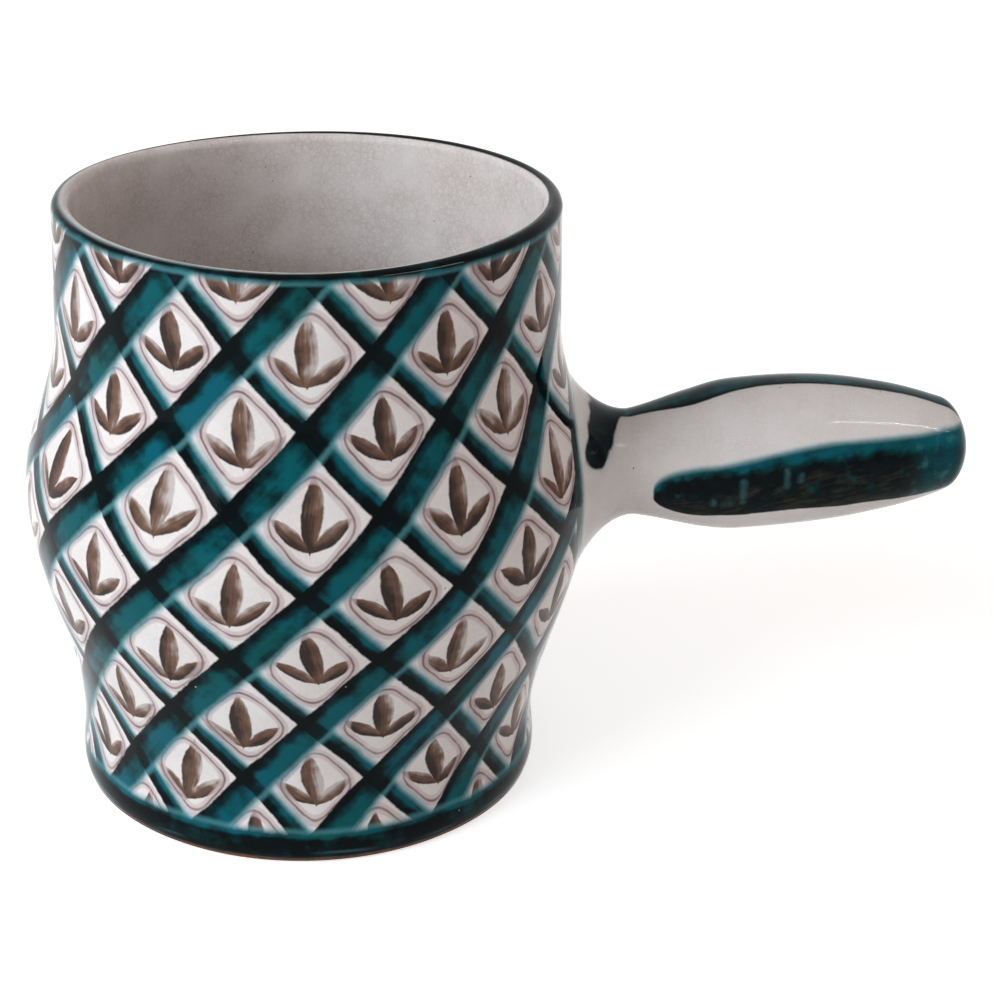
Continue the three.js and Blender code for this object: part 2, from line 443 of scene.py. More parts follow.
@dataclass(frozen=True)
class TealBrush:
    """Loaded brush of copper teal: bright and soft along one edge, near black and crisp along the other.

    In millimetres, crisp and soft are half the width of such an edge, bleed is how far the glaze is tinted
    beside the paint, and shake is how ragged an edge is. Tones go from 0 for bright to 1 for near black.
    """

    crisp: float = 0.30
    soft: float = 0.9
    bleed: float = 1.92
    halo: float = 0.75
    shake: float = 0.5
    band_dark: float = 0.90
    band_bright: float = 0.24

    def mix(self, canvas: Canvas, tone: Field, deep_to: float, black_from: float) -> Socket:
        """Mixes the paint: blue and green teal in slow clouds, then deep teal, then near black.

        Args:
            canvas: Material to paint on.
            tone: Tone from 0 for bright to 1 for near black.
            deep_to: Tone at which all of it is deep teal.
            black_from: Tone at which the near black begins.

        Returns:
            The paint's colour.
        """
        clouds = (canvas.noise(17.0, 2.0) * 3.0 + 0.5).clamped()
        paint = canvas.over(Pigment.BLUE_TEAL, Pigment.GREEN_TEAL, clouds)
        paint = canvas.over(paint, Pigment.DEEP_TEAL, soft_step(tone, 0.12, deep_to))
        return canvas.over(paint, Pigment.NEAR_BLACK, soft_step(tone, black_from, black_from + 0.38))

    def fill(self, canvas: Canvas, colour: Socket, outside: Field, streaks: Socket,
             darkness: "Field | float", softness: "Field | float") -> tuple[Socket, Field]:
        """Fills an area with teal.

        Args:
            canvas: Material to paint on.
            colour: Colour below.
            outside: Distance outside the area in millimetres, negative inside it.
            streaks: Vector along and across the brush's way, for the marks of its hairs.
            darkness: Base tone, from 0 for bright to 1 for near black.
            softness: How soft the edge is, from 0 for crisp to 1.

        Returns:
            The painted colour and the cover.
        """
        ragged = outside + canvas.noise(1.4, 2.0) * self.shake
        blur = softness * (self.soft - self.crisp) + self.crisp
        cover = 1.0 - soft_step(ragged, blur * -1.0, blur)
        halo = (1.0 - soft_step(ragged, 0.0, self.bleed)) * softness
        hairs = canvas.noise(1.0, 2.0, streaks)
        pool = canvas.noise(8.0, 3.0) * 1.5 + canvas.noise(3.0, 2.0) * 0.6
        tone = (hairs * 0.35 + pool + darkness).clamped()
        colour = canvas.over(colour, Pigment.PALE_TEAL, halo * self.halo)
        return canvas.over(colour, self.mix(canvas, tone, 0.64, 0.52), cover), cover

    def band(self, canvas: Canvas, colour: Socket, line: Field, half_width: "Field | float",
             streaks: Socket, dark_share: float, pooled: "Field | float" = 0.0) -> tuple[Socket, Field]:
        """Paints a band whose dark, crisp edge lies on the negative side of its middle line.

        Args:
            canvas: Material to paint on.
            colour: Colour below.
            line: Signed distance from the band's middle line, in millimetres.
            half_width: Half of the band's width, in millimetres.
            streaks: Vector along and across the band.
            dark_share: Part of the width that is dark.
            pooled: How much darker the band is than elsewhere.

        Returns:
            The painted colour and the cover.
        """
        share = (line / half_width) * 0.5 + 0.5
        bright = soft_step(share + canvas.noise(7.0) * 0.30, dark_share - 0.20, dark_share + 0.26)
        tone = self.band_dark - bright * (self.band_dark - self.band_bright) + pooled
        return self.fill(canvas, colour, abs(line) - half_width, streaks, tone, bright)


@dataclass(frozen=True)
class Lattice:
    """Slanting lattice of teal bands with a leaf sprig and a mauve line in each diamond.

    Two counters grow round the pot: the turn times the number of diamonds, plus or minus the height over
    the diamond's height. A band lies where a counter is near a whole number, and a diamond's own
    coordinates are the sum and the difference of the two remainders. Lengths are in millimetres. Around is
    the number of diamonds, frame_size and sway are parts of a diamond, and dark and pool are tones.
    """

    around: int = 12
    row: float = 36.0
    start: float = 4.0
    wide: float = 3.7
    narrow: float = 2.1
    leaf_length: float = 8.6
    leaf_width: float = 2.7
    side_length: float = 6.0
    side_width: float = 1.9
    frame_size: float = 0.330
    frame_width: float = 1.15
    sway: float = 0.11
    narrow_dark: float = 0.50
    narrow_pool: float = 0.30
    wide_dark: float = 0.27
    wide_pool: float = 0.34
    leaf_rise: float = 1.6
    stem_drop: float = 6.4
    side_lean: float = 52.0

    def paint(self, canvas: Canvas, colour: Socket, brush: TealBrush) -> tuple[Socket, Field]:
        """Paints the lattice and what is in its diamonds.

        Args:
            canvas: Material to paint on.
            colour: Colour below.
            brush: Brush for the teal bands.

        Returns:
            The painted colour and the cover of the teal.
        """
        turn = compute(canvas.tree, "ARCTAN2", canvas.y, canvas.x) * (self.around / FULL_TURN)
        rise = (canvas.z - self.start) * (1.0 / self.row)
        drift = canvas.noise(30.0, 1.0) * self.sway
        lean = canvas.noise(38.0, 1.0) * self.sway
        up = turn + rise + drift
        down = turn - rise + lean
        width = canvas.radius * (FULL_TURN / self.around)
        gap = width * self.row / diagonal(width, self.row)
        up_rest = self.remainder(up)
        down_rest = self.remainder(down)
        side = (up_rest + down_rest) * 0.5
        lift = (up_rest - down_rest) * 0.5
        colour = self.sprig(canvas, colour, side * width, lift * self.row, self.lot(canvas, up, down))
        colour = self.outline(canvas, colour, up_rest, down_rest, gap)
        up_line = self.remainder(up + 0.5) * gap
        down_line = self.remainder(down + 0.5) * gap
        colour, narrow_cover = brush.band(
            canvas, colour, up_line, canvas.noise(12.0) * 1.3 + self.narrow,
            canvas.point(up_line * 1.1, canvas.z * 0.04, self.index(up + 0.5)), self.narrow_dark,
            within(abs(down_line), self.wide + 1.5, 3.0) * self.narrow_pool,
        )
        colour, wide_cover = brush.band(
            canvas, colour, down_line, canvas.noise(16.0) * 1.6 + self.wide,
            canvas.point(down_line * 0.9, canvas.z * 0.04, self.index(down + 0.5) + 40.0), self.wide_dark,
            within(abs(up_line), self.narrow + 1.5, 3.5) * self.wide_pool,
        )
        crossing = narrow_cover * wide_cover
        blot = soft_step(canvas.noise(5.0) * 1.2 + crossing, 0.35, 0.95)
        colour = canvas.over(colour, Pigment.NEAR_BLACK, crossing * blot * 0.9)
        return colour, larger(narrow_cover, wide_cover)

    def remainder(self, counter: Field) -> Field:
        """What a counter has over its last whole number, less a half."""
        return compute(counter.tree, "FRACT", counter) - 0.5

    def index(self, counter: Field) -> Field:
        """Whole number of a counter, spread out and the same again after one turn of the pot."""
        whole = compute(counter.tree, "FLOOR", counter)
        return compute(counter.tree, "FLOORED_MODULO", whole, float(self.around)) * 7.31

    def lot(self, canvas: Canvas, up: Field, down: Field) -> list[Field]:
        """Draws three random numbers around 0 for the diamond that a point lies in.

        Args:
            canvas: Material to paint on.
            up: Rising counter.
            down: Falling counter.

        Returns:
            The three numbers.
        """
        node = canvas.tree.nodes.new("ShaderNodeTexWhiteNoise")
        canvas.tree.links.new(canvas.point(self.index(up), self.index(down), 0.5), node.inputs["Vector"])
        split = canvas.tree.nodes.new("ShaderNodeSeparateColor")
        canvas.tree.links.new(node.outputs["Color"], split.inputs[0])
        return [Field(canvas.tree, output) - 0.5 for output in split.outputs]

    def sprig(self, canvas: Canvas, colour: Socket, side: Field, lift: Field,
              lot: list[Field]) -> Socket:
        """Paints three brown leaves that rise from one stem.

        A leaf is a lens: its half width is greatest in the middle and falls off with the square of the
        distance along it. The two side leaves are one leaf, mirrored and leaning outwards.

        Args:
            canvas: Material to paint on.
            colour: Colour below.
            side: Distance from the diamond's upright middle line, in millimetres.
            lift: Distance above the diamond's middle, in millimetres.
            lot: Random numbers of the diamond.

        Returns:
            The painted colour.
        """
        side = side + lot[0] * 2.6 + lift * lot[2] * 0.55 + canvas.noise(8.0) * 1.6
        lift = (lift + lot[1] * 2.6) * (lot[2] * 0.22 + 1.0) + canvas.noise(7.0) * 1.2
        seed = lot[0] * 90.0
        rise = lift - self.leaf_rise
        colour = self.leaf(canvas, colour, side, rise, self.leaf_length, self.leaf_width, seed)
        lean = math.radians(self.side_lean)
        above_stem = lift + self.stem_drop
        for turned, extra in ((1.0, 11.0), (-1.0, 23.0)):
            reach = side * (turned * math.sin(lean)) + above_stem * math.cos(lean)
            off = side * (turned * math.cos(lean)) - above_stem * math.sin(lean)
            colour = self.leaf(canvas, colour, off * -1.0, reach - self.side_length, self.side_length,
                               self.side_width, seed + extra)
        return colour

    def leaf(self, canvas: Canvas, colour: Socket, off: Field, reach: Field, length: float,
             width: float, seed: Field) -> Socket:
        """Paints one leaf with a flat brush: thick along one edge and washed out along the other.

        Args:
            canvas: Material to paint on.
            colour: Colour below.
            off: Signed distance from the leaf's middle line, in millimetres.
            reach: Distance along it from the leaf's middle, in millimetres.
            length: Half of the leaf's length.
            width: Half of the leaf's width.
            seed: Number that changes the marks of the hairs.

        Returns:
            The painted colour.
        """
        part = reach / length
        inner = (1.0 - part * part) * width - abs(off) + canvas.noise(1.3, 2.0) * 0.45
        cover = soft_step(inner, -0.12, 0.35)
        hairs = canvas.noise(1.0, 3.0, canvas.point(off * 1.5, reach * 0.12, seed))
        load = compute(canvas.tree, "SINE", seed * 1.7) * 0.14 + 0.44
        wash = (off * (0.40 / width) + hairs * 0.55 + part * 0.14 + canvas.noise(5.0) * 1.0 + load).clamped()
        paint = canvas.over(Pigment.DARK_BROWN, Pigment.BROWN, soft_step(wash, 0.06, 0.60))
        thin = soft_step(wash, 0.50, 0.98) * 0.60
        return canvas.over(colour, paint, cover * (0.97 - thin))

    def outline(self, canvas: Canvas, colour: Socket, up_rest: Field, down_rest: Field,
                gap: Field) -> Socket:
        """Paints a pale mauve line as a diamond with round corners, with a thin dark line along it.

        The line lies where the fourth root of the sum of the two remainders' fourth powers has one value.

        Args:
            canvas: Material to paint on.
            colour: Colour below.
            up_rest: Remainder of the rising counter.
            down_rest: Remainder of the falling counter.
            gap: Distance between two bands, in millimetres.

        Returns:
            The painted colour.
        """
        wobble = canvas.noise(9.0) * 0.05
        rounded = (up_rest.power(4.0) + down_rest.power(4.0)).power(0.25) + wobble
        off = (rounded - self.frame_size) * gap
        strength = (canvas.noise(5.0) * 1.2 + 0.85).clamped()
        pale = within(abs(off), self.frame_width, 0.28) * strength * 0.85
        colour = canvas.over(colour, Pigment.PALE_MAUVE, pale)
        core = within(abs(off + canvas.noise(3.0) * 0.5), 0.26, 0.22)
        return canvas.over(colour, Pigment.MAUVE, core * strength)


@dataclass(frozen=True)
class RootRing:
    """Teal ring round the handle's root, on the pot and on the collar. Sizes in millimetres."""

    radius: float = 27.4
    half_width: float = 1.9
    dark_share: float = 0.60
    brush: TealBrush = field(default_factory=TealBrush)

    def paint(self, canvas: Canvas, colour: Socket, root: Field) -> tuple[Socket, Field]:
        """Paints the ring.

        Args:
            canvas: Material to paint on.
            colour: Colour below.
            root: Distance from the handle's axis, in millimetres.

        Returns:
            The painted colour and the cover.
        """
        streaks = canvas.point(root * 1.1, canvas.z * 0.08, 3.0)
        return self.brush.band(canvas, colour, self.radius - root, self.half_width, streaks, self.dark_share)


@dataclass(frozen=True)
class PotGlaze:
    """Finish of the pot: painted outside, crackled inside with a warmer, darker white that is partly painted
    shade, bare clay under the foot.

    Lengths are in millimetres, and heights are above the base.
    """

    lip_from: float = 147.5
    lip_radius: float = 57.3
    lip_fringe: float = 0.5
    foot_to: float = 9.0
    foot_roll: float = 3.2
    outer_stain: float = 0.40
    inner_stain_and_shade: float = 1.0
    paint_thickness: float = 0.05
    bare_to: tuple[float, float] = (1.3, 1.9)
    clay_roughness: float = 0.65
    ring: RootRing = field(default_factory=RootRing)
    lattice: Lattice = field(default_factory=Lattice)
    ground: CrackleGlaze = field(default_factory=CrackleGlaze)
    brush: TealBrush = field(default_factory=TealBrush)
    lip_brush: TealBrush = field(default_factory=lambda: TealBrush(crisp=0.2, bleed=1.12, shake=0.12))

    def make(self, handle: "HandleSizes") -> bpy.types.Material:
        """Builds the material.

        Args:
            handle: Sizes that give the handle's axis, for the ring round its root.

        Returns:
            The material.
        """
        canvas = Canvas("painted_glaze")
        lining = canvas.attribute("lining")
        # Inside the pot the stain is strongest: the crackle there is really stained, and the warmer, darker
        # white there is painted shade inside the pot.
        stain_and_shade = lining * (self.inner_stain_and_shade - self.outer_stain) + self.outer_stain
        ground, relief = self.ground.lay(canvas, stain_and_shade)
        root = handle.near_axis(canvas)
        painted, teal = self.lattice.paint(canvas, ground, self.brush)
        clear_of_root = soft_step(root, self.ring.radius - 0.5, self.ring.radius)
        painted = canvas.over(ground, painted, clear_of_root)
        teal = teal * clear_of_root
        painted, ring = self.ring.paint(canvas, painted, root)
        around = canvas.point(canvas.z * 0.9, canvas.x * 0.05, canvas.y * 0.05)
        above_foot = canvas.z + canvas.noise(18.0) * 1.6 - self.foot_to
        darkness = soft_step(above_foot, -0.8, -2.2) * 0.6 + 0.28
        painted, foot = self.brush.fill(canvas, painted, above_foot, around, darkness, 0.8)
        roll = within(abs(canvas.z + canvas.noise(22.0) * 3.0 - self.foot_roll), 0.35, 0.5)
        roll = roll * soft_step(canvas.noise(26.0, 1.0), -0.02, 0.12)
        painted = canvas.over(painted, Pigment.PALE_TEAL, roll * 0.30)
        # Sparse white dots on the brushwork: painted glints standing for highlights on tiny glaze bubbles.
        painted = canvas.over(painted, Pigment.WHITE, self.ground.dots(canvas, 6.5, 0.30) * 0.6)
        beneath, off_top = self.lip_distances(canvas)
        on_top = soft_step(off_top, -0.6, -0.1) * soft_step(canvas.attribute("plain_height"), 147.8, 148.3)
        colour = canvas.over(painted, ground, larger(lining, on_top))
        darkness = soft_step(beneath, 0.2, -0.5) * 0.56 + 0.38
        fringe = (1.0 - soft_step(beneath, -0.6, -1.6)) * (1.0 - lining)
        colour, lip = self.lip_brush.fill(
            canvas, colour, larger(beneath - self.lip_fringe, off_top), around, darkness, fringe * 0.8,
        )
        cover = larger(larger(teal, ring), larger(foot, lip)) * (1.0 - lining)
        relief = relief + cover * self.paint_thickness
        colour, relief, roughness = self.bare_foot(canvas, colour, relief)
        canvas.fire(colour, relief, roughness)
        return canvas.material

    def lip_distances(self, canvas: Canvas) -> tuple[Field, Field]:
        """Measures how far a point lies off the lip's dark paint. The paint leans with the turn of the pot,
        leaving a wider white top towards -X and -Y, which is partly painted highlight.

        Args:
            canvas: Material to paint on.

        Returns:
            How far the point lies under the paint and how far inwards of it, in millimetres.
        """
        east = canvas.x / canvas.radius
        north = canvas.y / canvas.radius
        beneath = self.lip_from - canvas.attribute("plain_height") - east * 0.5 - north * 0.45
        # Leaning towards -X and -Y widens the lip's white top there: the glaze's own white, widened as
        # painted highlight on the lit edge of the lip.
        inwards = self.lip_radius - canvas.attribute("plain_radius") - east * 0.75 - north * 0.60
        return beneath + canvas.noise(14.0) * 0.9, inwards + canvas.noise(16.0) * 0.2

    def bare_foot(self, canvas: Canvas, colour: Socket,
                  relief: Field) -> tuple[Socket, Field, Field]:
        """Leaves the lowest edge and the base as bare red clay with grit.

        Args:
            canvas: Material to paint on.
            colour: Colour of the glaze.
            relief: Relief of the glaze, in millimetres.

        Returns:
            The colour, the relief and the roughness.
        """
        bare = 1.0 - soft_step(canvas.z + canvas.noise(10.0) * 1.2, *self.bare_to)
        grit = canvas.noise(0.9, 4.0)
        burnt = (grit * 2.2 + canvas.noise(14.0) * 1.5 + 0.4).clamped()
        clay = canvas.over(Pigment.CLAY, Pigment.DARK_CLAY, burnt)
        colour = canvas.over(colour, clay, bare)
        relief = relief + bare * (grit * 0.12 - 0.25)
        return colour, relief, bare * self.clay_roughness + GLAZE_ROUGHNESS


@dataclass(frozen=True)
class HandleGlaze:
    """Finish of the handle and its collar: white, with a stroke on each side and a stripe on top.

    Lengths are in millimetres, places are along the handle's axis from the pot's axis, and stripe_middle,
    patch_low and what multiplies them are in degrees from the side upwards. A table's row is a start, an
    end and what it adds. A drip is its place, its height on the side and half its length.
    """

    stain_and_shade: float = 0.4
    leaf_from: float = 83.9
    leaf_tip: float = 13.0
    leaf_half: float = 7.0
    leaf_growth: Table = ((94.0, 135.0, 2.0),)
    leaf_low: float = -3.4
    leaf_lift: Table = ((86.0, 128.0, 3.2), (132.0, 158.0, -0.9))
    leaf_core: tuple[float, float] = (90.0, 128.0)
    # Span over which the stroke turns paler towards the end, as painted reflection.
    leaf_end_reflection: tuple[float, float] = (146.0, 153.0)
    drips: Table = (
        (98.5, -5.2, 0.5), (105.8, -2.0, 2.8), (116.5, 1.0, 2.2), (120.0, 0.9, 0.6),
    )
    stripe_from: float = 76.0
    stripe_middle: float = 100.0
    stripe_half: float = 5.2
    stripe_growth: Table = (
        (82.0, 97.0, 3.2), (100.0, 114.0, -1.6), (138.0, 158.0, -1.0),
    )
    patch_middle: float = 68.2
    patch_slant: float = 0.07
    patch_half: float = 1.9
    patch_widen: float = 0.03
    patch_low: float = 17.0
    patch_corner: float = 2.6
    paint_thickness: float = 0.05
    ring: RootRing = field(default_factory=RootRing)
    # The handle's white is barely warmed, so a little lighter and cooler than the pot's outside: partly the
    # glaze's own tone, partly painted light on the better-lit handle.
    ground: CrackleGlaze = field(default_factory=lambda: CrackleGlaze(unevenness=0.12, warmth=0.05))
    brush: TealBrush = field(default_factory=TealBrush)
    smooth_brush: TealBrush = field(default_factory=lambda: TealBrush(shake=0.2))

    def make(self, handle: "HandleSizes") -> bpy.types.Material:
        """Builds the material.

        Args:
            handle: Sizes that give the handle's axis.

        Returns:
            The material.
        """
        canvas = Canvas("handle_glaze")
        colour, relief = self.ground.lay(canvas, self.stain_and_shade)
        along, height = handle.along_axis(canvas)
        root = handle.near_axis(canvas)
        turn = compute(canvas.tree, "ARCTAN2", height, abs(canvas.y)) * (360.0 / FULL_TURN)
        per_degree = root * (FULL_TURN / 360.0)
        colour, leaf = self.leaf(canvas, colour, along, turn * per_degree)
        full_turn = compute(canvas.tree, "ARCTAN2", height, canvas.y * -1.0) * (360.0 / FULL_TURN)
        stripe_half = ramps(along, self.stripe_growth) + self.stripe_half
        beside_top = abs(full_turn - self.stripe_middle) * per_degree - stripe_half
        stripe_off = larger(beside_top + canvas.noise(12.0), self.stripe_from - along)
        pooled = soft_step(stripe_off, -1.7, -0.5) * 0.42 + 0.46
        colour, stripe = self.smooth_brush.fill(
            canvas, colour, stripe_off, canvas.point(canvas.y * 0.9, along * 0.05, 2.0), pooled, 0.1,
        )
        beside = abs(along - turn * self.patch_slant - self.patch_middle)
        beside = beside - turn * self.patch_widen - self.patch_half
        beneath = larger((self.patch_low - turn) * per_degree + self.patch_corner, 0.0)
        aside = larger(beside + self.patch_corner, 0.0)
        patch_off = diagonal(beneath, aside) - self.patch_corner
        patch_off = patch_off + canvas.noise(7.0, 1.0) * 3.2
        colour, patch = self.smooth_brush.fill(
            canvas, colour, patch_off, canvas.point(along * 0.9, height * 0.06, 5.0), 0.80, 0.2,
        )
        colour, ring = self.ring.paint(canvas, colour, root)
        cover = larger(larger(leaf, stripe), larger(patch, ring))
        canvas.fire(colour, relief + cover * self.paint_thickness, GLAZE_ROUGHNESS)
        return canvas.material

    def leaf(self, canvas: Canvas, colour: Socket, along: Field,
             around: Field) -> tuple[Socket, Field]:
        """Paints the long leaf-shaped stroke, bright along its upper edge and mottled below.

        Its near end is half an ellipse, its half width then grows a little more with an eased step, and
        its middle line climbs with an eased step and sinks a little towards the handle's end.

        Args:
            canvas: Material to paint on.
            colour: Colour below.
            along: Distance along the handle's axis, in millimetres.
            around: Distance round the handle above the middle of its side, in millimetres.

        Returns:
            The painted colour and the cover.
        """
        share = ((along - self.leaf_from) * (1.0 / self.leaf_tip)).clamped()
        tip = (share * (2.0 - share)).clamped().power(0.5)
        middle = ramps(along, self.leaf_lift) + self.leaf_low
        off = around - middle + canvas.noise(12.0, 1.0)
        half = tip * self.leaf_half + ramps(along, self.leaf_growth)
        inner = half - abs(off)
        upper = soft_step(off, -0.5, 0.5)
        ragged = inner + canvas.noise(1.4, 2.0) * 0.25
        edge = soft_step(ragged, upper * -0.6 - 0.3, upper * 0.6 + 0.3)
        halo = soft_step(ragged, -1.6, 0.0) * upper
        hairs = canvas.noise(1.0, 3.0, canvas.point(along * 0.16, off * 0.8 - along * 0.12, 8.0))
        depth = half - off + canvas.noise(6.0) * 2.4 + canvas.noise(2.2, 3.0) * 2.2
        pool = canvas.noise(5.0, 3.0)
        grown = soft_step(along, *self.leaf_core)
        core = soft_step(depth, grown * 1.2 + 0.6, grown * 2.8 + 2.8)
        # Paler teal and pale blotches towards the handle's end: painted reflection of the end as it turns
        # away.
        end_reflection = soft_step(along + canvas.noise(5.0) * 6.0, *self.leaf_end_reflection)
        tone = ((core * 0.66 + hairs * 0.3 + pool + 0.26) * (1.0 - end_reflection * 0.55)).clamped()
        paint = self.brush.mix(canvas, tone, 0.56, 0.50)
        near = 1.0 - end_reflection
        thin = soft_step(canvas.noise(5.0, 3.0) + hairs * 0.9, -0.12, 0.28) * soft_step(depth, 5.0, 8.0)
        paint = canvas.over(paint, Pigment.OLIVE, thin * near * 0.8)
        elsewhere = canvas.point(canvas.x, canvas.y + 60.0, canvas.z)
        spots = soft_step(canvas.noise(4.0, 2.0, elsewhere), 0.08, 0.30)
        paint = canvas.over(paint, Pigment.GREEN_TEAL, spots * near * 0.5)
        end_reflection_blotch = soft_step(canvas.noise(4.0, 2.0), 0.02, 0.25)
        paint = canvas.over(paint, Pigment.PALE_TEAL, end_reflection_blotch * end_reflection * 0.30)
        for place, level, reach in self.drips:
            across = along - place + canvas.noise(2.5) * 1.4
            lengthwise = larger(abs(around - level) - reach, 0.0)
            drip = within(diagonal(across, lengthwise), 0.65, 0.75)
            paint = canvas.over(paint, Pigment.PALE_TEAL, drip * (canvas.noise(1.5) * 0.35 + 0.22))
        present = soft_step(along, self.leaf_from, self.leaf_from + 0.6)
        colour = canvas.over(colour, Pigment.PALE_TEAL, halo * present * self.brush.halo)
        cover = edge * present
        return canvas.over(colour, paint, cover), cover


def ease(share: np.ndarray) -> np.ndarray:
    """Eased blend from 0 to 1: three times the square less twice the cube of the share."""
    return share * share * (3.0 - 2.0 * share)


def wavy(turn: np.ndarray, terms: Table) -> np.ndarray:
    """Sum of cosines of a turn, each given by its height, its number round the piece and its phase."""
    return sum(height * np.cos(number * turn + phase) for height, number, phase in terms)


def half_wave(value: np.ndarray, span: tuple[float, float]) -> np.ndarray:
    """Sine of half a turn over a span, and 0 outside it."""
    return np.sin(math.pi * np.clip((value - span[0]) / (span[1] - span[0]), 0.0, 1.0))


def arc_points(centre: tuple[float, float], radius: float, start: float, end: float,
               count: int) -> np.ndarray:
    """Points on a circle's arc, each the centre plus the radius times the cosine and sine of its angle.

    Args:
        centre: Centre of the circle.
        radius: Its radius.
        start: First angle, in degrees.
        end: Last angle, in degrees.
        count: Number of points.

    Returns:
        The points, one row each.
    """
    angles = np.radians(np.linspace(start, end, count))
    return np.column_stack((centre[0] + radius * np.cos(angles), centre[1] + radius * np.sin(angles)))


def evenly_spaced(outline: np.ndarray, count: int) -> np.ndarray:
    """Points at equal steps of length along an outline.

    Args:
        outline: Points of the outline, one row each.
        count: Number of points wanted.

    Returns:
        The new points.
    """
    steps = np.hypot(*np.diff(outline, axis=0).T)
    length = np.concatenate(([0.0], np.cumsum(steps)))
    wanted = np.linspace(0.0, length[-1], count)
    return np.column_stack([np.interp(wanted, length, outline[:, axis]) for axis in (0, 1)])


def shell_object(name: str, grid: np.ndarray, poles: bool) -> bpy.types.Object:
    """Makes a smooth closed mesh from a grid of points whose columns run all the way round.

    Args:
        name: Name of the object.
        grid: Points in metres, as rows by columns by three.
        poles: Whether the first and last rows close on a point each. Otherwise the last row joins the first.

    Returns:
        The object, with its faces outwards.
    """
    rows, columns = grid.shape[:2]
    points = grid.reshape(-1, 3)
    index = np.arange(rows * columns).reshape(rows, columns)
    beside = np.roll(index, -1, axis=1)
    upper, upper_beside = np.roll(index, -1, axis=0), np.roll(beside, -1, axis=0)
    used = slice(None, -1) if poles else slice(None)
    quads = np.stack((index[used], beside[used], upper_beside[used], upper[used]), axis=-1).reshape(-1, 4)
    fans = np.empty((0, 3), int)
    if poles:
        ends = np.array([grid[0].mean(axis=0), grid[-1].mean(axis=0)])
        first, last = len(points), len(points) + 1
        points = np.vstack((points, ends))
        low = np.column_stack((np.full(columns, first), beside[0], index[0]))
        high = np.column_stack((np.full(columns, last), index[-1], beside[-1]))
        fans = np.vstack((low, high))
    triangles = np.vstack((quads[:, [0, 1, 2]], quads[:, [0, 2, 3]], fans))
    corners = points[triangles]
    volume = np.einsum("ij,ij->i", corners[:, 0], np.cross(corners[:, 1], corners[:, 2])).sum()
    if volume < 0.0:
        quads, fans = quads[:, ::-1], fans[:, ::-1]
    mesh = bpy.data.meshes.new(name)
    mesh.from_pydata(points.tolist(), [], quads.tolist() + fans.tolist())
    mesh.polygons.foreach_set("use_smooth", np.ones(len(mesh.polygons), bool))
    mesh.update()
    piece = bpy.data.objects.new(name, mesh)
    bpy.context.scene.collection.objects.link(piece)
    return piece


def dress(piece: bpy.types.Object, material: bpy.types.Material, slot: Slot, *nodes: str) -> None:
    """Gives a piece its finish and its place in the frame.

    Args:
        piece: Object to dress.
        material: Finish of its surface.
        slot: Slot of the record that the finish belongs to. Not used.
        *nodes: CAD nodes that the piece stands for.
    """
    piece.data.materials.append(material)
    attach(piece, "root")
    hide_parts(*nodes)
    LOG.info("%s: %d faces, stands for %s", piece.name, len(piece.data.polygons), ", ".join(nodes))


